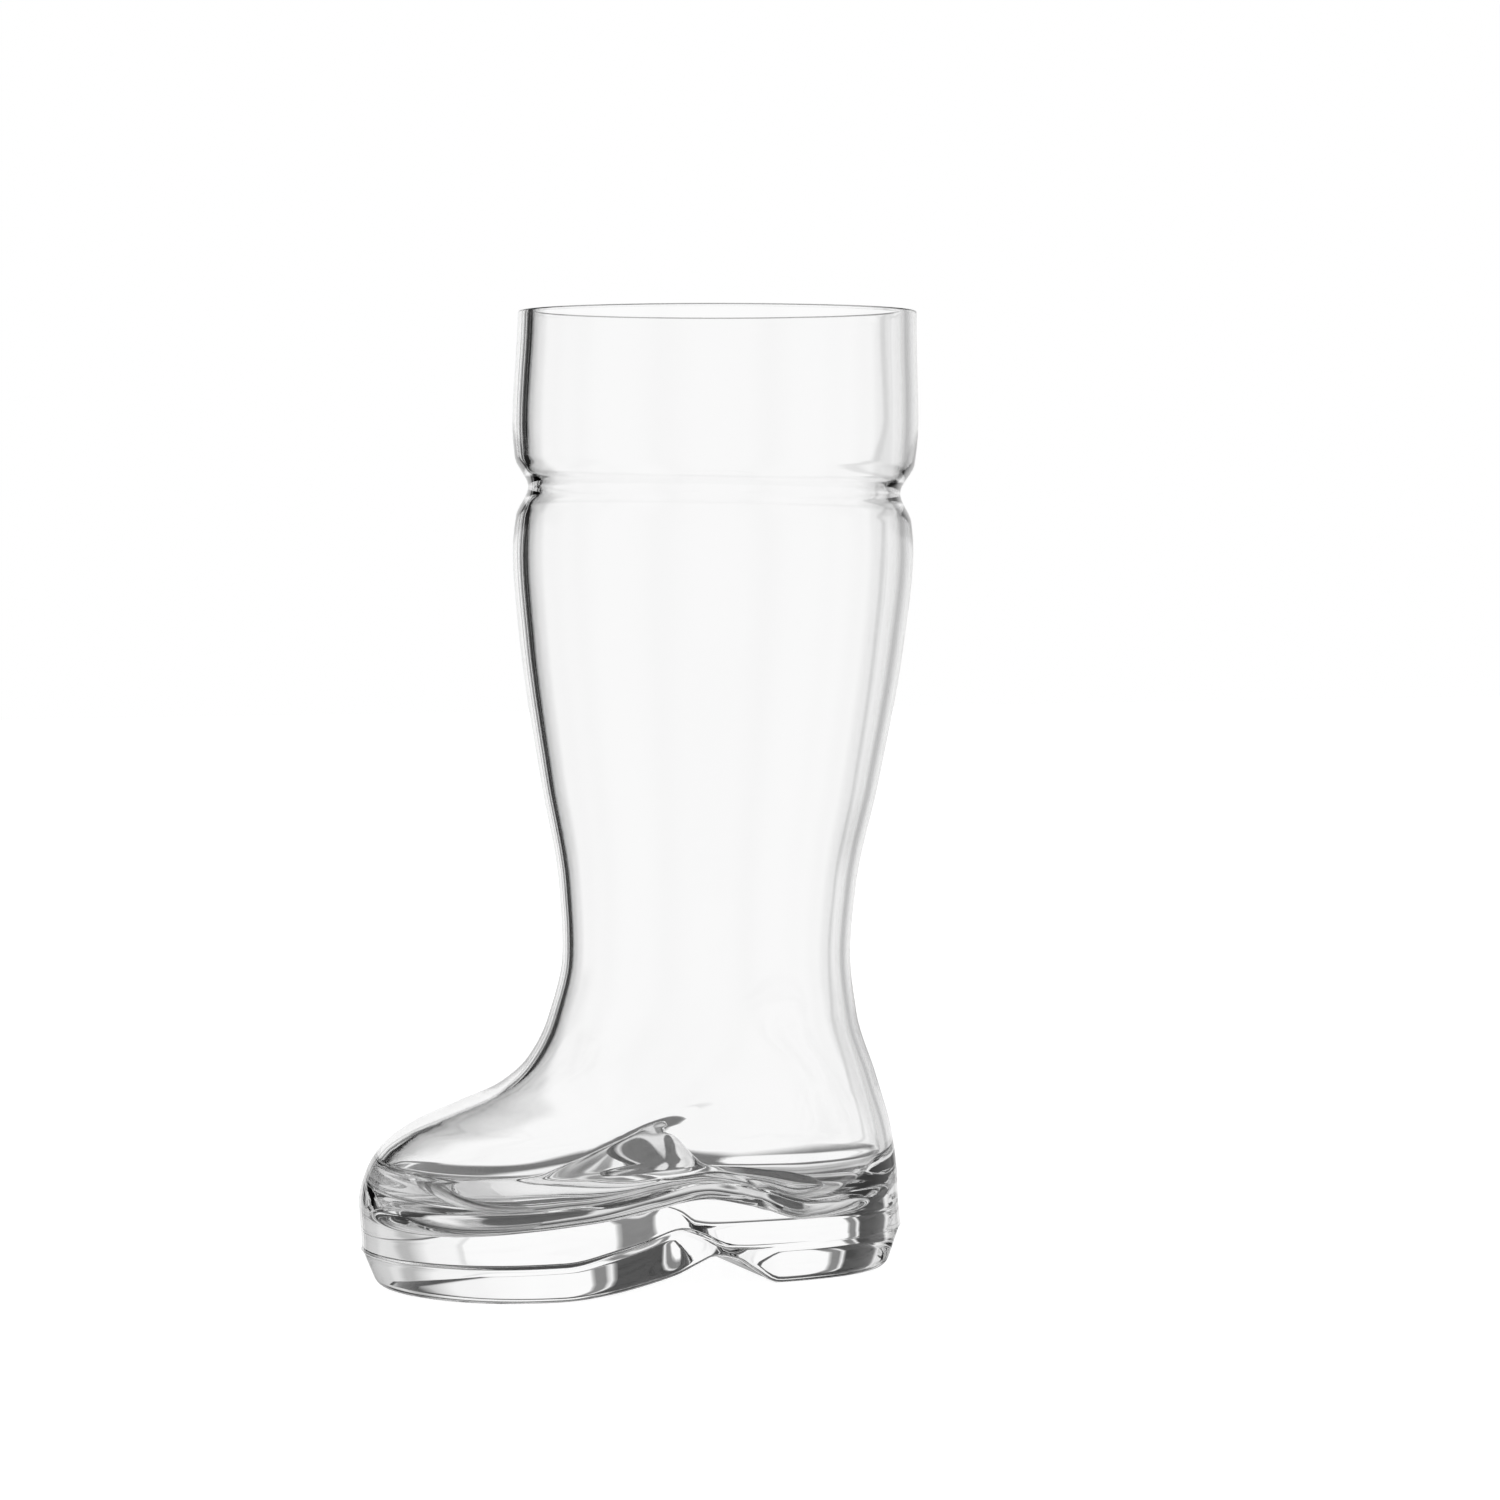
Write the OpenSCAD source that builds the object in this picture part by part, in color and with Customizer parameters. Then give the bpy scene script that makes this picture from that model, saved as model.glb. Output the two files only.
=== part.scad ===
// Boot-shaped drinking glass, blown in one piece in a two-part mould.
// The glass stands on the plane z = 0, its toe points along -X and its left and right halves mirror
// each other in the plane y = 0. The origin is in the middle of its footprint box, on the table.
// The one wall of glass is divided into named regions, which meet face to face.

/* [Leg] */
// Height of the glass, from the table to the rim
height = 231.1; // [215:0.1:250]
// Outer diameter at the widest place of the cuff
cuff_d = 97.2; // [92:0.1:102]
// Drop from the rim to the widest place of the cuff
cuff_drop = 27; // [15:0.5:32]
// How far the rim stands in from the cuff all round
rim_step = 0.9; // [0.3:0.1:1.5]
// Height of the ground and polished lip
rim_h = 3; // [1:0.1:6]
// Bevel on both edges of the lip
rim_ease = 0.5; // [0.1:0.1:0.8]
// How far the groove is drawn in from the cuff all round
groove_depth = 4; // [2:0.1:6]
// Drop from the rim to the middle of the groove
groove_drop = 42.8; // [40:0.1:60]
// Width of the groove, from shoulder to shoulder
groove_w = 14; // [8:0.5:18]
// How far the widest place of the calf stands in from the cuff all round
calf_step = 0.6; // [0.2:0.1:2]
// Drop from the middle of the groove to the widest place of the calf
calf_drop = 14.6; // [12:0.1:25]
// Outer diameter of the ankle
ankle_d = 69.3; // [60:0.1:76]
// Height of the ankle's narrowest place above the table
ankle_h = 77.5; // [70:0.5:90]
// How far the middle of the ankle stands towards the toe from the middle of the mouth
ankle_set = 2.9; // [0:0.1:5]

/* [Foot] */
// Reach of the toe tip from the middle of the mouth
toe_reach = 88.2; // [80:0.1:100]
// Reach of the heel's back from the middle of the mouth
heel_reach = 45.9; // [43:0.1:52]
// Width of the sole across the ball of the foot
ball_w = 76; // [68:0.5:84]
// Width of the sole at its waist, under the arch
waist_w = 56; // [46:0.5:64]
// Width of the sole across the heel
heel_w = 53; // [46:0.5:64]
// Height at which the round shaft of the foot ends and the shoe with its toe cap begins
shoe_h = 44; // [36:0.5:56]

/* [Sole] */
// Height of the sharp parting edge round the toe
edge_h = 8.4; // [8:0.1:12]
// Rise of the parting edge from the toe to the heel
edge_rise = 1.8; // [0:0.1:4]
// How far the tread's chamfer is drawn in from the parting edge
tread_inset = 2.6; // [1.5:0.1:5]
// Height of the rounding under the chamfer
tread_round = 2.2; // [1:0.1:4]
// Height of the thick slab of glass at its edge, where the thin wall of the foot begins
slab_h = 18; // [15:0.5:22]
// Height of the arch between the ball and the heel, under the tread
arch_h = 7.2; // [3:0.1:8]
// Rise of the parting edge in front of the arch's crown
edge_wave = 5.4; // [0:0.1:7]
// Length of the arch along the sole
arch_l = 58; // [40:1:70]
// Set of the arch's crown in front of the middle of the mouth
arch_set = 9; // [0:0.5:20]

/* [Glass] */
// Thickness of the wall at the rim and down the leg
leg_wall = 3.5; // [2:0.1:4]
// Thickness of the wall in the groove
groove_wall = 2.8; // [1.8:0.1:3.5]
// Thickness of the wall at the ankle
ankle_wall = 2.5; // [2:0.1:4]
// Thickness of the wall round the foot, just above the sole
foot_wall = 3.6; // [2:0.1:5]
// Height of the hollow's floor above the table
floor_h = 14; // [12:0.1:17]
// Height of the hollow's rounded lower corner
corner_h = 16; // [10:0.5:20]
// Breadth of the hollow's rounded lower corner
corner_w = 13; // [6:0.5:16]
// Rise of the hump that the arch leaves along the sides of the hollow's floor
hump_h = 6.5; // [4:0.5:10]
// Rise of the rounded ridge in the middle of the floor, above that hump
ridge_h = 13; // [4:0.5:15]
// Set of the ridge's top in front of the arch's crown
ridge_set = 3; // [0:0.5:8]

/* [Hidden] */

glass_tint = [0.86, 0.9, 0.9, 0.45];
thick_tint = [0.78, 0.84, 0.85, 0.6];

// Facets round the turned leg and round the foot, and levels in its tall and short stretches
round_sides = 128;
foot_sides = 72;
instep_steps = 12;
upper_steps = 11;
side_steps = 4;
round_steps = 4;
corner_steps = 5;
floor_steps = 7;
turned_steps = 12;

// Turn on the hollow's rounded corner where the thin wall ends and the slab begins
slab_turn = 50;
// Length by which a cut runs past what it cuts
overrun = 5;
// Step for measuring a slope on the foot's skin, as a share of its height, and the turn that goes with it
slope_share = 0.004;
slope_turn = 1;

groove_z = height - groove_drop;
cuff_z = height - cuff_drop;
calf_z = groove_z - calf_drop;
rim_d = cuff_d - 2 * rim_step;
groove_d = cuff_d - 2 * groove_depth;
calf_d = cuff_d - 2 * calf_step;
lean = atan(ankle_set / (height - ankle_h));
leg_reach = cuff_d / 2 - ankle_set * cuff_drop / (height - ankle_h);
origin_x = (toe_reach - max(heel_reach, leg_reach)) / 2;
arch_x = -arch_set;
cut_v = floor_h + corner_h;

// The taper of the leg between ankle and calf: shares of the height and of the radius gained
taper_shares = [[0.17, 0.083], [0.43, 0.45], [0.78, 0.863]];
// Where the leg passes into the ankle, as a share of the height from ankle to calf
ankle_top_share = 0.3;
// The groove's shoulders: share of the groove's depth that is regained at each of its two edges
shoulder_share = 0.83;
// The instep from the parting edge up to the ankle: shares of the height, and of the reach kept
instep_shares = [
    [0, 0.986], [0.17, 1], [0.27, 0.964], [0.356, 0.884], [0.428, 0.74], [0.486, 0.536],
    [0.544, 0.329], [0.631, 0.182], [0.776, 0.074], [1, 0]];
// The heel's back from the parting edge up to the ankle, in the same way
counter_shares = [
    [0, 1], [0.09, 0.965], [0.2, 0.945], [0.36, 0.835], [0.56, 0.516], [0.78, 0.136], [1, 0]];
// How much of the sole's outline is left at shares of the height, where the rest is round like the ankle
outline_shares = [[0, 1], [0.09, 1], [0.31, 0.85], [0.53, 0.3], [0.75, 0], [1, 0]];
// Places along the sole from toe to heel where its widths are given, and how full its two ends are
ball_share = 0.28;
waist_share = 0.57;
heel_share = 0.79;
toe_fullness_share = 1.2;
heel_fullness_share = 1.1;
// The arch along its length, from the ball to the heel: shares of its length and of its height
arch_front_share = 0.72;
arch_rise_shares = [
    [0, 0], [0.2, 0.09], [0.38, 0.23], [0.55, 0.46], [0.65, 0.78], [0.72, 1], [0.81, 0.85],
    [0.9, 0.42], [1, 0]];
// The parting edge rises ahead of the arch's crown and is level again at the heel
edge_wave_shares = [[0, 0], [0.2, 0.33], [0.38, 0.68], [0.53, 1], [0.64, 0.6], [0.75, 0.1], [0.9, 0]];
// The hump in the floor of the hollow, from the ball to the heel
hump_rise_shares = [[0, 0], [0.2, 0.25], [0.55, 0.75], [0.7, 1], [0.86, 0.6], [1, 0]];
// The ridge in the middle of that floor: a long rise from the toe, a steep drop behind the crown, and
// a low swell over the heel
ridge_rise_shares = [
    [0, 0], [0.03, 0.08], [0.17, 0.34], [0.35, 0.68], [0.48, 0.87], [0.63, 0.985], [0.71, 1],
    [0.79, 0.6], [0.86, 0.49], [1.02, 0.6], [1.13, 0.38], [1.2, 0]];
// The hump in the floor of the hollow, which is broader than the arch under it
hump_spread_share = 1.5;

// Smooth curve through the keys of a table, level at both ends, that never overshoots a key
function slope(keys, i) =
    (i == 0 || i == len(keys) - 1) ? 0
    : let (a = (keys[i][1] - keys[i - 1][1]) / (keys[i][0] - keys[i - 1][0]),
           b = (keys[i + 1][1] - keys[i][1]) / (keys[i + 1][0] - keys[i][0]))
      a * b <= 0 ? 0 : 2 * a * b / (a + b);
function span(keys, x, i = 0) =
    (i >= len(keys) - 2 || x <= keys[i + 1][0]) ? i : span(keys, x, i + 1);
function curve(keys, x) =
    let (i = span(keys, x),
         run = keys[i + 1][0] - keys[i][0],
         t = max(0, min(1, (x - keys[i][0]) / run)))
    keys[i][1] * (1 + 2 * t) * pow(1 - t, 2) + slope(keys, i) * run * t * pow(1 - t, 2)
    + keys[i + 1][1] * t * t * (3 - 2 * t) - slope(keys, i + 1) * run * t * t * (1 - t);
function mix(a, b, share) = a + (b - a) * share;
function smooth(share) = let (s = max(0, min(1, share))) s * s * (3 - 2 * s);

// Outer radius of the round leg at height z above the table, measured along its own axis
leg_keys = concat(
    [[ankle_h, ankle_d / 2]],
    [for (s = taper_shares) [mix(ankle_h, calf_z, s[0]), mix(ankle_d, calf_d, s[1]) / 2]],
    [[calf_z, calf_d / 2],
     [groove_z - groove_w / 2, mix(groove_d, calf_d, shoulder_share) / 2],
     [groove_z, groove_d / 2],
     [groove_z + groove_w / 2, mix(groove_d, cuff_d, shoulder_share) / 2],
     [cuff_z, cuff_d / 2],
     [height, rim_d / 2]]);
// Thickness of the leg's wall at the same heights
wall_keys = [
    [ankle_h, ankle_wall],
    [calf_z, leg_wall],
    [groove_z, groove_wall],
    [cuff_z, leg_wall],
    [height, leg_wall]];

// Lift of the tread and of the parting edge at place x, and the hump that they leave inside
function along_arch(x, spread) = (x - arch_x) / arch_l / spread + arch_front_share;
function arch_at(x) = arch_h * curve(arch_rise_shares, along_arch(x, 1));
function wave_at(x) = edge_wave * curve(edge_wave_shares, along_arch(x, 1));
function hump_at(x) = hump_h * curve(hump_rise_shares, along_arch(x, hump_spread_share));
function ridge_at(x) = ridge_h * curve(ridge_rise_shares, along_arch(x + ridge_set, hump_spread_share));

// Reach of the foot's skin to the front and to the back at level v, and how far the tread is drawn in
foot_rise = ankle_h - edge_h;
function level_share(v) = (v - edge_h) / foot_rise;
function front(v) = mix(ankle_set + ankle_d / 2, toe_reach, curve(instep_shares, level_share(v)));
function back(v) = mix(ankle_d / 2 - ankle_set, heel_reach, curve(counter_shares, level_share(v)));

// Half-width of the sole at place s along it, from toe 0 to heel 1, over that of a plain oval
function oval(s) = 2 * sqrt(s * (1 - s));
sole_keys = [
    [0, ball_w / 2 / oval(ball_share) * toe_fullness_share],
    [ball_share, ball_w / 2 / oval(ball_share)],
    [waist_share, waist_w / 2 / oval(waist_share)],
    [heel_share, heel_w / 2 / oval(heel_share)],
    [1, heel_w / 2 / oval(heel_share) * heel_fullness_share]];

// Point of the foot's skin at level v and turn t (0 at the heel, 180 at the toe), drawn in by inset.
// The arch and the rise of the parting edge lift the lower levels and fade out below the ankle.
function skin(v, t, inset = 0) =
    let (f = front(v) - inset,
         b = back(v) - inset,
         x = (b - f) / 2 + (b + f) / 2 * cos(t),
         sole_half = curve(sole_keys, (1 + cos(t)) / 2),
         half = mix(ankle_d / 2, sole_half, curve(outline_shares, level_share(v))) - inset,
         fade = 1 - smooth((v - edge_h) / (cut_v - edge_h)),
         rise = edge_rise * smooth((x + toe_reach) / (toe_reach + heel_reach)),
         lift = mix(arch_at(x), wave_at(x) + rise, min(1, v / edge_h)))
    [x, half * sin(t), v + fade * lift];

// The same point moved inwards, square to the skin, by the thickness of the wall
function foot_wall_at(v) = mix(foot_wall, ankle_wall, smooth((v - cut_v) / (ankle_h - cut_v)));
function lining(v, t) =
    let (dv = slope_share * foot_rise,
         along = skin(min(v + dv, ankle_h), t) - skin(v - dv, t),
         round = skin(v, t + slope_turn) - skin(v, t - slope_turn),
         n = cross(round, along))
    skin(v, t) - foot_wall_at(v) * n / norm(n);

// Point of the hollow's rounded corner: phi runs from 0 on the wall to 90 on the floor
function corner(phi, t) =
    let (top = lining(cut_v, t),
         p = skin(cut_v, t, foot_wall + corner_w * (1 - cos(phi))),
         drop = floor_h + hump_at(p[0]))
    [p[0], p[1], mix(top[2], drop, sin(phi))];

// Point of the hollow's floor: share runs from 0 at the rounded corner to 1 on the mirror plane
function floor_point(share, t) =
    let (p = corner(90, t))
    [p[0], p[1] * (1 - share), p[2] + ridge_at(p[0]) * smooth(share)];

turn_step = 360 / foot_sides;
turns = [for (i = [0 : foot_sides - 1]) i * turn_step];
// Turns of the skin that lie ahead of the arch's crown, and those behind it, sharing their end points
crown_turn = turn_step * round(acos((arch_x - (heel_reach - toe_reach) / 2)
    / ((heel_reach + toe_reach) / 2)) / turn_step);
fore_turns = [for (t = [crown_turn : turn_step : 360 - crown_turn]) t];
heel_turns = [for (t = [-crown_turn : turn_step : crown_turn]) t];

// Faces between two neighbouring rings of n points each
function band(a, b, n) =
    [for (i = [0 : n - 1])
        let (j = (i + 1) % n)
        each [[a * n + i, a * n + j, b * n + j], [a * n + i, b * n + j, b * n + i]]];
// Faces straight across a ring, from each point to its mirror image on the other side.
// A ring that starts at a tip has tip 1, and one that starts at a cut has tip 0.
function across(ring, n, tip) =
    let (o = ring * n)
    [for (i = [0 : ceil((n + tip) / 2) - 1])
        let (k = (n - 1 + tip - i) % n, m = (n - 2 + tip - i) % n)
        each [if (k != i && m > i) [o + i, o + i + 1, o + k],
              if (m > i + 1) [o + i + 1, o + m, o + k]]];
function flipped(faces) = [for (f = faces) [f[2], f[1], f[0]]];

// Closed solid whose skin runs through a stack of rings, shut by its two end rings, or through a loop
module stack(rings, tip) {
    n = len(rings[0]);
    bands = [for (i = [0 : len(rings) - 2]) each band(i, i + 1, n)];
    polyhedron(
        points = [for (r = rings) each r],
        faces = concat(bands, across(len(rings) - 1, n, tip), flipped(across(0, n, tip))));
}
module loop(rings) {
    n = len(rings[0]);
    bands = [for (i = [0 : len(rings) - 1]) each band(i, (i + 1) % len(rings), n)];
    polyhedron(points = [for (r = rings) each r], faces = bands);
}

// Turned stretch of the leg between two heights, about the leg's own leaning axis
module turned(z0, z1) {
    zs = [for (i = [0 : turned_steps]) mix(z0, z1, i / turned_steps)];
    outside = [for (z = zs) [curve(leg_keys, z), z]];
    inside = [for (i = [turned_steps : -1 : 0]) [curve(leg_keys, zs[i]) - curve(wall_keys, zs[i]), zs[i]]];
    translate([origin_x - ankle_set, 0, ankle_h])
        rotate([0, lean, 0])
            translate([0, 0, -ankle_h])
                rotate_extrude($fn = round_sides)
                    polygon(concat(outside, inside));
}
// Everything in the glass's footprint between two heights, for level cuts
module slice(z0, z1) {
    w = max(cuff_d, ball_w) + 2 * overrun;
    l = 2 * (toe_reach + overrun);
    translate([-l / 2, -w / 2, z0])
        cube([l, w, z1 - z0]);
}

// Ground and polished lip, level and lightly bevelled on both edges
module rim() {
    r = rim_d / 2;
    r0 = r - leg_wall;
    color(thick_tint)
        translate([origin_x, 0, height - rim_h])
            rotate_extrude($fn = round_sides)
                polygon([
                    [r0, 0], [r, 0], [r, rim_h - rim_ease], [r - rim_ease, rim_h],
                    [r0 + rim_ease, rim_h], [r0, rim_h - rim_ease]]);
}

// Upright band above the groove, which stands for the turned top of the boot
module cuff()
    color(glass_tint)
        intersection() {
            turned(groove_z + groove_w / 2, height + overrun);
            slice(groove_z - overrun, height - rim_h);
        }

// Drawn-in ring under the cuff
module groove()
    color(thick_tint)
        turned(groove_z - groove_w / 2, groove_z + groove_w / 2);

// Shaft that tapers from the calf towards the ankle
module leg()
    color(glass_tint)
        turned(mix(ankle_h, calf_z, ankle_top_share), groove_z - groove_w / 2);

// Narrow waist, still round, down to the level where the foot begins
module ankle()
    color(glass_tint)
        intersection() {
            turned(ankle_h - overrun, mix(ankle_h, calf_z, ankle_top_share));
            slice(ankle_h, height);
        }

function ring(v, inset = 0, at = turns) = [for (t = at) skin(v, t, inset)];
function lining_ring(v) = [for (t = turns) lining(v, t)];
function corner_ring(phi) = [for (t = turns) corner(phi, t)];
function floor_ring(share) = [for (t = turns) floor_point(share, t)];

// Thin wall from the ankle down over the instep, where the glass opens out towards the toe
module instep()
    color(glass_tint)
        translate([origin_x, 0, 0])
            loop(concat(
                [for (i = [0 : instep_steps]) ring(mix(shoe_h, ankle_h, i / instep_steps))],
                [for (i = [instep_steps : -1 : 0]) lining_ring(mix(shoe_h, ankle_h, i / instep_steps))]));

// Thin wall round the shoe: the toe cap, the two sides and the heel counter
module upper()
    color(thick_tint)
        translate([origin_x, 0, 0])
            loop(concat(
                [for (i = [0 : upper_steps]) ring(mix(slab_h, shoe_h, i / upper_steps))],
                [for (i = [upper_steps : -1 : 1]) lining_ring(mix(cut_v, shoe_h, i / upper_steps))],
                [for (i = [0 : corner_steps]) corner_ring(slab_turn * i / corner_steps)]));

// Thick slab of glass: its upright edge, and the hollow's floor with the hump and ridge over the arch
module sole()
    color(thick_tint)
        translate([origin_x, 0, 0])
            stack(concat(
                [for (i = [0 : side_steps]) ring(mix(edge_h, slab_h, i / side_steps))],
                [for (i = [0 : corner_steps]) corner_ring(mix(slab_turn, 90, i / corner_steps))],
                [for (i = [1 : floor_steps - 1]) floor_ring(i / floor_steps)]),
                1);

// Tread under the parting edge: a chamfer, then a rounding that runs out level on the table
module tread(at) {
    k = tread_inset / (edge_h - tread_round);
    foot_in = tread_inset + tread_round * k;
    rest_in = foot_in + tread_round * sqrt(1 + k * k);
    translate([origin_x, 0, 0])
        stack(concat(
            [for (i = [round_steps : -1 : 0])
                let (s = i / round_steps,
                     drawn = mix(mix(tread_inset, foot_in, s), mix(foot_in, rest_in, s), s))
                ring(tread_round * pow(1 - s, 2), drawn, at)],
            [ring(edge_h, 0, at)]),
            0);
}

// Chamfered tread under the ball of the foot and the toes
module fore_tread()
    color(thick_tint)
        tread(fore_turns);

// Chamfered heel
module heel_tread()
    color(thick_tint)
        tread(heel_turns);

rim();
cuff();
groove();
leg();
ankle();
instep();
upper();
sole();
fore_tread();
heel_tread();
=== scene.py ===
import math

import bmesh
import bpy
import numpy as np
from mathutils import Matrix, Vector


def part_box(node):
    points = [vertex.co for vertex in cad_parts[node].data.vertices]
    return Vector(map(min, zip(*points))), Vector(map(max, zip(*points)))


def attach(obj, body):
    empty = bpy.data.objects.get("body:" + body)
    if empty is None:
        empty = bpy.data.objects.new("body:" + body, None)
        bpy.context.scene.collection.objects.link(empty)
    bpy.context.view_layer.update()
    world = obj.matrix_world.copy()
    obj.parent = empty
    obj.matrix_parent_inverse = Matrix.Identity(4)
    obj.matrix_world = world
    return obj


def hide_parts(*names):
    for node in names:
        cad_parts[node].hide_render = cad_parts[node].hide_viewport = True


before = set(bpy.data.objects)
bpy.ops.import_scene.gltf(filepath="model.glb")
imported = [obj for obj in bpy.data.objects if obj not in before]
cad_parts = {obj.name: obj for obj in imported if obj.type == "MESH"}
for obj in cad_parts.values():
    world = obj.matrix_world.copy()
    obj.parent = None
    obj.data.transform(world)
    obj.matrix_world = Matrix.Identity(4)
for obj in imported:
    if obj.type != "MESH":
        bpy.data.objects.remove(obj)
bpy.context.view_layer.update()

scene = bpy.context.scene
scene.view_settings.view_transform = "Standard"

# Camera
# A lens of about 117 mm at 1.17 m, a little above the middle of the glass and tipped down 2.9 degrees.
# It looks at the boot's side from 20 degrees off square, so that the toe is a little nearer.
rim_low, rim_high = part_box("rim")
mouth_x = (rim_low.x + rim_high.x) / 2
view_turn = math.radians(19.98)
view_tip = math.radians(2.914)
eye_height, eye_distance, eye_shift = 0.1854, 1.169, 0.0078
away = Vector((-math.sin(view_turn), -math.cos(view_turn), 0))
rightwards = Vector((math.cos(view_turn), -math.sin(view_turn), 0))
camera_data = bpy.data.cameras.new("camera")
camera_data.sensor_width = 36
camera_data.lens = 116.84
camera = bpy.data.objects.new("camera", camera_data)
camera.location = Vector((mouth_x, 0, eye_height)) + away * eye_distance + rightwards * eye_shift
look = -away * math.cos(view_tip) - Vector((0, 0, math.sin(view_tip)))
camera.rotation_euler = look.to_track_quat("-Z", "Y").to_euler()
scene.collection.objects.link(camera)
scene.camera = camera

# The leg of the glass
# The upper half of a glass blown in one piece in a two-part mould: ankle, calf, groove and cuff are
# round about an axis that leans a little towards the toe at the ankle, and the lip is ground level.
# All sizes are in millimetres, measured from the middle of the mouth and up from the table.
height = 231.1
cuff_r = 48.6
cuff_z = height - 27
rim_r = cuff_r - 0.9
rim_ease = 0.5
groove_r = cuff_r - 4
groove_z = height - 42.8
groove_half = 7
shoulder_share = 0.83
calf_r = cuff_r - 0.6
calf_z = groove_z - 14.6
ankle_r = 34.65
ankle_z = 77.5
ankle_set = 2.9
leg_wall, groove_wall, ankle_wall = 3.5, 2.8, 2.5
turns = np.radians(np.arange(256) * 360 / 256)


def curve(keys, x):
    """Smooth curve through the keys (place, value): cubic between two keys, level at the ends and at
    each peak, with the harmonic mean of the two neighbouring slopes at every other key."""
    k, v = np.array(keys, float).T
    run = np.diff(k)
    rise = np.diff(v) / run
    a, b = rise[:-1], rise[1:]
    both = np.where(a + b == 0, 1, a + b)
    slope = np.concatenate([[0], np.where(a * b > 0, 2 * a * b / both, 0), [0]])
    x = np.asarray(x, float)
    i = np.clip(np.searchsorted(k, x) - 1, 0, len(k) - 2)
    t = np.clip((x - k[i]) / run[i], 0, 1)
    return (v[i] * (1 + 2 * t) * (1 - t) ** 2 + slope[i] * run[i] * t * (1 - t) ** 2
            + v[i + 1] * t * t * (3 - 2 * t) - slope[i + 1] * run[i] * t * t * (1 - t))


def mix(a, b, share):
    """Straight mix from a to b."""
    return a + (b - a) * share


def shoulder(other):
    """Radius at the groove's edge: most of the way from the groove out to its neighbour."""
    return mix(groove_r, other, shoulder_share)


taper = [(0.17, 0.083), (0.43, 0.45), (0.78, 0.863)]
leg_radii = [
    (ankle_z, ankle_r),
    *[(mix(ankle_z, calf_z, s), mix(ankle_r, calf_r, r)) for s, r in taper],
    (calf_z, calf_r),
    (groove_z - groove_half, shoulder(calf_r)),
    (groove_z, groove_r),
    (groove_z + groove_half, shoulder(cuff_r)),
    (cuff_z, cuff_r),
    (height, rim_r),
]
leg_walls = [(ankle_z, ankle_wall), (calf_z, leg_wall), (groove_z, groove_wall), (cuff_z, leg_wall),
             (height, leg_wall)]
ankle_fade, lip_fade = 40, 15


def leg_rings(z, inset):
    """Rings of the leg at heights z, drawn in by inset: a circle of the leg's radius whose middle
    moves towards the toe by ankle_set at the ankle, tipped square to the leaning axis except near
    the ankle and the lip, where the tip fades out."""
    z, inset = np.asarray(z, float)[:, None], np.broadcast_to(inset, np.shape(z))[:, None]
    r = curve(leg_radii, z) - inset
    lean = ankle_set * (height - z) / (height - ankle_z)
    tip = np.clip(np.minimum((z - ankle_z) / ankle_fade, (height - z) / lip_fade), 0, 1)
    tip = tip * ankle_set / (height - ankle_z)
    x = r * np.cos(turns)
    return np.stack([x - lean, r * np.sin(turns), z - tip * x], -1)


# The foot of the glass
# The lower half of the same blown wall: it opens forward from the ankle into the instep and the toe
# cap, and runs down to a sharp edge where the mould parts. Under that edge the tread is chamfered,
# and an arch lifts it off the table between the ball and the heel.
toe_reach, heel_reach = 88.2, 45.9
edge_z, tread_inset, tread_round = 8.4, 2.6, 2.2
arch_x, arch_l, arch_h, arch_crown = -9, 58, 7.2, 0.72
edge_wave, edge_rise = 5.4, 1.8
hollow_top = 30
ball_w, waist_w, heel_w = 76, 56, 53
ball_at, waist_at, heel_at = 0.28, 0.57, 0.79
instep = [(0, 0.986), (0.17, 1), (0.27, 0.964), (0.356, 0.884), (0.428, 0.74), (0.486, 0.536),
          (0.544, 0.329), (0.631, 0.182), (0.776, 0.074), (1, 0)]
counter = [(0, 1), (0.09, 0.965), (0.2, 0.945), (0.36, 0.835), (0.56, 0.516), (0.78, 0.136), (1, 0)]
outline = [(0, 1), (0.09, 1), (0.31, 0.85), (0.53, 0.3), (0.75, 0), (1, 0)]
arch_rise = [(0, 0), (0.2, 0.09), (0.38, 0.23), (0.55, 0.46), (0.65, 0.78), (0.72, 1), (0.81, 0.85),
             (0.9, 0.42), (1, 0)]
wave_rise = [(0, 0), (0.2, 0.33), (0.38, 0.68), (0.53, 1), (0.64, 0.6), (0.75, 0.1), (0.9, 0)]


def smooth(share):
    """Eased step from 0 to 1."""
    s = np.clip(share, 0, 1)
    return s * s * (3 - 2 * s)


def along_arch(x, spread):
    """Place along the arch from 0 at the ball to 1 at the heel, drawn out by spread about its crown."""
    return (x - arch_x) / arch_l / spread + arch_crown


def half_width(s):
    """Half the sole's width at place s from the toe to the heel, over that of a plain oval. Each key
    is a place, a width there, and the place where the oval is measured."""
    widths = [(0, ball_w * 1.2, ball_at), (ball_at, ball_w, ball_at), (waist_at, waist_w, waist_at),
              (heel_at, heel_w, heel_at), (1, heel_w * 1.1, heel_at)]
    return curve([(p, w / 4 / math.sqrt(o * (1 - o))) for p, w, o in widths], s)


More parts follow.
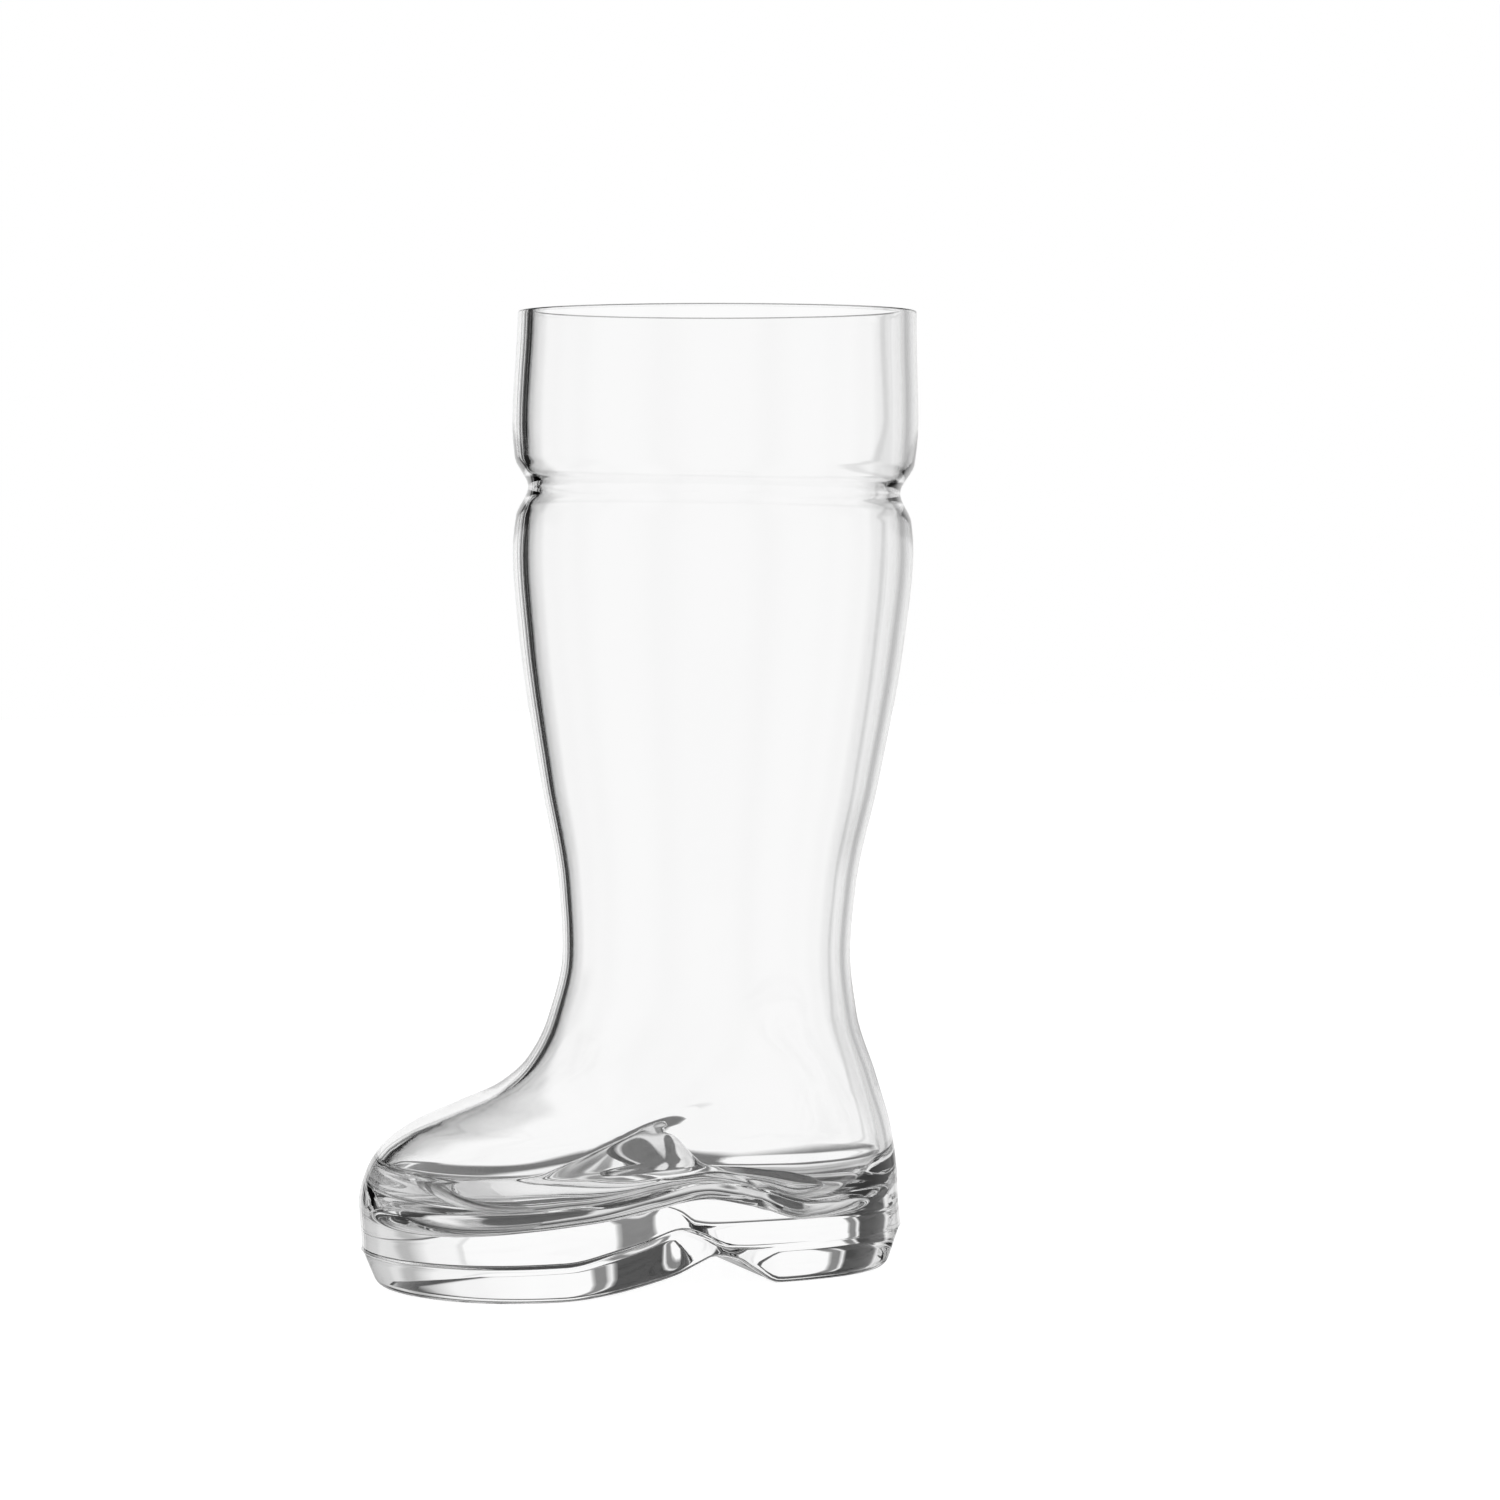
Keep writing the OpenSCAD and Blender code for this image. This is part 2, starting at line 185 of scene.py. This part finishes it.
def skin(v, t, inset=0.0):
    """Point of the foot's outside at level v and turn t (0 at the heel, half a turn at the toe): an
    oval between the reach of toe and heel, as wide as the sole low down and round at the ankle,
    lifted by the arch and by the wave of the parting edge, which fade out above the sole."""
    v, t = np.broadcast_arrays(np.asarray(v, float), t)
    share = (v - edge_z) / (ankle_z - edge_z)
    front = mix(ankle_set + ankle_r, toe_reach, curve(instep, share)) - inset
    back = mix(ankle_r - ankle_set, heel_reach, curve(counter, share)) - inset
    x = (back - front) / 2 + (back + front) / 2 * np.cos(t)
    half = mix(ankle_r, half_width((1 + np.cos(t)) / 2), curve(outline, share)) - inset
    rise = edge_rise * smooth((x + toe_reach) / (toe_reach + heel_reach))
    lift = mix(arch_h * curve(arch_rise, along_arch(x, 1)),
               edge_wave * curve(wave_rise, along_arch(x, 1)) + rise, np.minimum(1, v / edge_z))
    lift_left = 1 - smooth((v - edge_z) / (hollow_top - edge_z))
    return np.stack([x, half * np.sin(t), v + lift_left * lift], -1)


def tread_rings(s):
    """Rings of the rounding under the chamfer: a parabola from the table (s = 1) to the chamfer."""
    k = tread_inset / (edge_z - tread_round)
    foot_in = tread_inset + tread_round * k
    rest_in = foot_in + tread_round * math.sqrt(1 + k * k)
    s = np.asarray(s)[:, None]
    inset = mix(mix(tread_inset, foot_in, s), mix(foot_in, rest_in, s), s)
    return skin(tread_round * (1 - s) ** 2, turns, inset)


def closed_flat(ring, share, rise=0.0):
    """Rings that close a hole: the ring drawn together onto the mirror plane, raised as it goes."""
    out = np.repeat(ring[None], len(share), 0)
    out[..., 1] *= 1 - share[:, None]
    out[..., 2] += rise * smooth(share)[:, None]
    return out


# The hollow of the foot
# The blowing air leaves a thin wall round the foot and a thick slab of glass under it. The hollow's
# lower corner is broadly rounded, and the arch leaves a hump across its floor. A soft ridge runs
# along the middle, from a long rise at the toe to a steep drop behind the arch's crown.
foot_wall, floor_z, corner_w = 3.6, 14, 13
hump_h, ridge_h, ridge_set, hump_spread = 6.5, 13, 3, 1.5
hump_rise = [(0, 0), (0.2, 0.25), (0.55, 0.75), (0.7, 1), (0.86, 0.6), (1, 0)]
ridge_rise = [(0, 0), (0.03, 0.08), (0.17, 0.34), (0.35, 0.68), (0.48, 0.87), (0.63, 0.985), (0.71, 1),
              (0.79, 0.6), (0.86, 0.49), (1.02, 0.6), (1.13, 0.38), (1.2, 0)]


def lining(v):
    """Inside of the thin wall at levels v: the skin moved in, square to itself, by the wall. The
    square direction is the cross product of two short steps, dv up and dt round."""
    v = np.asarray(v, float)[:, None]
    dv, dt = 0.28, math.radians(1)
    up = skin(np.minimum(v + dv, ankle_z), turns) - skin(v - dv, turns)
    n = np.cross(skin(v, turns + dt) - skin(v, turns - dt), up)
    wall = mix(foot_wall, ankle_wall, smooth((v - hollow_top) / (ankle_z - hollow_top)))
    return skin(v, turns) - wall[..., None] * n / np.linalg.norm(n, axis=-1, keepdims=True)


def corner(phi):
    """The hollow's rounded corner: phi runs a quarter turn from the wall down to the floor."""
    phi = np.asarray(phi)[:, None]
    top = lining([hollow_top])[0, :, 2]
    p = skin(hollow_top, turns, foot_wall + corner_w * (1 - np.cos(phi)))
    drop = floor_z + hump_h * curve(hump_rise, along_arch(p[..., 0], hump_spread))
    return np.stack([p[..., 0], p[..., 1], mix(top, drop, np.sin(phi))], -1)


# The glass as one piece
# All the rings above, joined in order into one closed skin: from the tread up the outside, over the
# eased lip, down the inside and across the floor of the hollow. A bead where the mould parts runs
# round the sole. The rings stand closer round the groove, and one stands just under the eased lip,
# so that the wall's shading stays flat up to it.
bead = 0.2
edge_round = 0.35
groove_low, groove_high = groove_z - 12, groove_z + 12
lip_support = 0.3
chamfer = np.linspace(tread_round, edge_z - edge_round, 6)[1:, None]
foot_v = np.concatenate([np.linspace(edge_z + edge_round, hollow_top, 22),
                         np.linspace(hollow_top, ankle_z, 44)[1:]])
leg_z = np.concatenate([np.linspace(ankle_z, groove_low, 40)[1:],
                        np.linspace(groove_low, groove_high, 37)[1:],
                        np.linspace(groove_high, height - rim_ease - lip_support, 15)[1:],
                        [height - rim_ease]])
ease = np.linspace(0, math.pi / 2, 6)
ease_down, ease_in = rim_ease * (1 - np.sin(ease)), rim_ease * (1 - np.cos(ease))
base = tread_rings(np.linspace(1, 0, 10))
inner_floor = corner([math.pi / 2])[0]
ridge = ridge_h * curve(ridge_rise, along_arch(inner_floor[:, 0] + ridge_set, hump_spread))
across = np.linspace(0, 1, 24)[1:]
rings = np.concatenate([
    closed_flat(base[0], across)[::-1],
    base,
    skin(chamfer, turns, mix(0, tread_inset, (edge_z - chamfer) / (edge_z - tread_round))),
    skin(edge_z, turns, -bead)[None],
    skin(foot_v[:, None], turns),
    leg_rings(leg_z, 0),
    leg_rings(height - ease_down[1:], ease_in[1:]),
    leg_rings(height - ease_down[::-1], leg_wall - ease_in[::-1]),
    leg_rings(leg_z[::-1][1:], curve(leg_walls, leg_z[::-1][1:])),
    lining(np.linspace(ankle_z, hollow_top, 46)),
    corner(np.linspace(0, math.pi / 2, 28)[1:]),
    closed_flat(inner_floor, across, ridge),
])
n_rings, n_turns = rings.shape[:2]
points = rings.reshape(-1, 3) / 1000 + np.array([mouth_x, 0, 0])
i = np.arange(n_rings - 1)[:, None] * n_turns
j = np.arange(n_turns)[None]
k = (j + 1) % n_turns
quads = np.stack([i + j, i + k, i + n_turns + k, i + n_turns + j], -1).reshape(-1, 4)
glass_mesh = bpy.data.meshes.new("boot_glass")
glass_mesh.from_pydata(points.tolist(), [], quads.tolist())
work = bmesh.new()
work.from_mesh(glass_mesh)
bmesh.ops.remove_doubles(work, verts=work.verts, dist=2e-6)
bmesh.ops.dissolve_degenerate(work, edges=work.edges, dist=1e-6)
bmesh.ops.recalc_face_normals(work, faces=work.faces)
work.to_mesh(glass_mesh)
work.free()
glass_mesh.polygons.foreach_set("use_smooth", np.ones(len(glass_mesh.polygons), bool))
glass = bpy.data.objects.new("boot_glass", glass_mesh)
scene.collection.objects.link(glass)
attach(glass, "root")
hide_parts("rim", "cuff", "groove", "leg", "ankle", "instep", "upper", "sole", "fore_tread",
            "heel_tread")


def linear(hex_colour):
    """An sRGB hex colour as linear RGBA."""
    c = np.array([int(hex_colour[m:m + 2], 16) for m in (1, 3, 5)]) / 255
    return (*np.where(c <= 0.04045, c / 12.92, ((c + 0.055) / 1.055) ** 2.4), 1.0)


def add(tree, kind, settings=None, links=None):
    """Adds a node, with its own settings and socket values, and links sockets of others into it."""
    node = tree.nodes.new(kind)
    for name, value in (settings or {}).items():
        if isinstance(name, str) and hasattr(node, name):
            setattr(node, name, value)
        else:
            node.inputs[name].default_value = value
    for name, socket in (links or {}).items():
        tree.links.new(socket, node.inputs[name])
    return node


# Soda-lime glass, fire-polished as it leaves the mould: clear and nearly colourless, with a mirror
# gloss. The mould's wall leaves faint ripples, wider round the glass than they are tall.
glass_material = bpy.data.materials.new("soda_lime_glass_blown")
glass_material.use_nodes = True
tree = glass_material.node_tree
tree.nodes.clear()
place = add(tree, "ShaderNodeTexCoord")
ripple_wide, ripple_tall, ripple_deep = 0.045, 0.007, 0.00002
ripple_place = add(tree, "ShaderNodeMapping", {"Scale": (1 / ripple_wide, 1 / ripple_wide, 1 / ripple_tall)},
                   {"Vector": place.outputs["Object"]})
ripple = add(tree, "ShaderNodeTexNoise", {"Scale": 1.0, "Detail": 1.5, "Roughness": 0.4},
             {"Vector": ripple_place.outputs[0]})
ripple_bump = add(tree, "ShaderNodeBump", {"Strength": 1.0, "Distance": ripple_deep},
                  {"Height": ripple.outputs["Fac"]})
clear = add(tree, "ShaderNodeBsdfPrincipled",
            {"Base Color": linear("#FEFEFE"), "Roughness": 0.0, "IOR": 1.52, "Transmission Weight": 1.0},
            {"Normal": ripple_bump.outputs[0]})
add(tree, "ShaderNodeOutputMaterial", None, {"Surface": clear.outputs[0]})
glass_mesh.materials.append(glass_material)

# Table
# A plain, pale matt table, lit so that it runs into the white room, which takes the soft shadow. Rays
# inside the glass or off its gloss pass through it and see the room.
table_half = 3
corners = [(x * table_half, y * table_half, 0) for x, y in ((-1, -1), (1, -1), (1, 1), (-1, 1))]
table_mesh = bpy.data.meshes.new("table")
table_mesh.from_pydata(corners, [], [(0, 1, 2, 3)])
table = bpy.data.objects.new("table", table_mesh)
scene.collection.objects.link(table)
table_material = bpy.data.materials.new("matt_white_table")
table_material.use_nodes = True
tree = table_material.node_tree
tree.nodes.clear()
path = add(tree, "ShaderNodeLightPath")
matt = add(tree, "ShaderNodeBsdfDiffuse", {"Color": linear("#CBCBCB")})
lit = add(tree, "ShaderNodeEmission", {"Strength": 0.81})
pale = add(tree, "ShaderNodeAddShader", None, {0: matt.outputs[0], 1: lit.outputs[0]})
through = add(tree, "ShaderNodeBsdfTransparent")
seen_in_glass = add(tree, "ShaderNodeMath", {"operation": "MAXIMUM"},
                    {0: path.outputs["Is Transmission Ray"], 1: path.outputs["Is Glossy Ray"]})
seen = add(tree, "ShaderNodeMixShader", None,
           {0: seen_in_glass.outputs[0], 1: pale.outputs[0], 2: through.outputs[0]})
add(tree, "ShaderNodeOutputMaterial", None, {"Surface": seen.outputs[0]})
table_mesh.materials.append(table_material)

# Studio
# A bright room. A white card stands behind the glass as the camera sees it. Dark cards on its left
# and above it, a greyer one on its right and dark ledges under it draw the dark lines in the walls.
# The floor straight below is dark, and faint soft strips stand round the rest of the room.
world = bpy.data.worlds.new("studio")
scene.world = world
world.use_nodes = True
tree = world.node_tree
tree.nodes.clear()
path = add(tree, "ShaderNodeLightPath")
place = add(tree, "ShaderNodeTexCoord")
ray = place.outputs["Generated"]


def tones(keys, low, high, angle):
    """Grey tone through the keys (degrees, tone), straight between two keys, for an angle socket in
    radians that runs from low to high degrees."""
    share = add(tree, "ShaderNodeMapRange",
                {"From Min": math.radians(low), "From Max": math.radians(high)}, {0: angle})
    ramp = add(tree, "ShaderNodeValToRGB", None, {0: share.outputs[0]})
    stops = ramp.color_ramp.elements
    while len(stops) > 1:
        stops.remove(stops[-1])
    for m, (turn, tone) in enumerate(keys):
        stop = stops[0] if m == 0 else stops.new((turn - low) / (high - low))
        stop.position = (turn - low) / (high - low)
        stop.color = (tone, tone, tone, 1)
    return ramp.outputs[0]


def blend(kind, share, a, b):
    """Mix of two colours: share is a number or a socket."""
    node = add(tree, "ShaderNodeMix", {"data_type": "RGBA", "blend_type": kind})
    if isinstance(share, float):
        node.inputs["Factor"].default_value = share
    else:
        tree.links.new(share, node.inputs["Factor"])
    tree.links.new(a, node.inputs["A"])
    tree.links.new(b, node.inputs["B"])
    return node.outputs["Result"]


card_turn = math.radians(20)
card_drop = 0.05
card_middle = Vector((math.sin(card_turn), math.cos(card_turn), -card_drop)).normalized()
card_side = Vector((math.cos(card_turn), -math.sin(card_turn), 0))
ahead = add(tree, "ShaderNodeVectorMath", {"operation": "DOT_PRODUCT", 1: card_middle}, {0: ray})
sideways = add(tree, "ShaderNodeVectorMath", {"operation": "DOT_PRODUCT", 1: card_side}, {0: ray})
off_middle = add(tree, "ShaderNodeMath", {"operation": "ARCCOSINE"}, {0: ahead.outputs["Value"]})
left = tones([(0, 1), (25.5, 1), (26.3, 0.2), (29, 0.2), (29.8, 0.9), (30.3, 0.9), (31.2, 0.02),
              (54, 0.02), (60, 0.9), (80, 0.88), (130, 0.77), (180, 0.77)], 0, 180, off_middle.outputs[0])
right = tones([(0, 1), (10.5, 1), (11.5, 0.7), (13, 0.95), (22, 0.92), (30, 0.45), (34, 0.45),
               (38, 0.72), (90, 0.77), (180, 0.77)], 0, 180, off_middle.outputs[0])
side = add(tree, "ShaderNodeMapRange", {"From Min": -0.12, "From Max": 0.12},
           {0: sideways.outputs["Value"]})
parts = add(tree, "ShaderNodeSeparateXYZ", None, {0: ray})
tilt = add(tree, "ShaderNodeMath", {"operation": "ARCSINE"}, {0: parts.outputs[2]})
ledges = tones([(-90, 0.9), (-70, 0.9), (-66, 0.1), (-46, 0.1), (-42, 0.95), (-24, 0.95), (-21, 0.1),
                (-15, 0.1), (-12, 1), (17, 1), (19, 0.06), (52, 0.06), (56, 0.85), (90, 0.85)],
               -90, 90, tilt.outputs[0])
under = tones([(-90, 0.1), (-70, 0.1), (-65, 1), (90, 1)], -90, 90, tilt.outputs[0])
bearing = add(tree, "ShaderNodeMath", {"operation": "ARCTAN2"}, {0: parts.outputs[0], 1: parts.outputs[1]})
strips = tones([(-180, 1), (-140, 1), (-126, 0.8), (-112, 1), (-92, 1), (-78, 0.8), (-66, 0.95), (-56, 0.8),
                (-44, 1), (86, 1), (101, 0.8), (116, 1), (153, 1), (168, 0.8), (180, 0.95)],
               -180, 180, bearing.outputs[0])
near_card = add(tree, "ShaderNodeMapRange", {"From Min": 0.42, "From Max": 0.62},
                {0: ahead.outputs["Value"]})
cards = blend("MULTIPLY", near_card.outputs[0], blend("MIX", side.outputs[0], left, right), ledges)
room = blend("MULTIPLY", 1.0, blend("MULTIPLY", 1.0, cards, strips), under)
plain = add(tree, "ShaderNodeRGB")
plain.outputs[0].default_value = (1, 1, 1, 1)
seen_room = blend("MIX", path.outputs["Is Camera Ray"], room, plain.outputs[0])
air = add(tree, "ShaderNodeBackground", None, {"Color": seen_room})
add(tree, "ShaderNodeOutputWorld", None, {"Surface": air.outputs[0]})
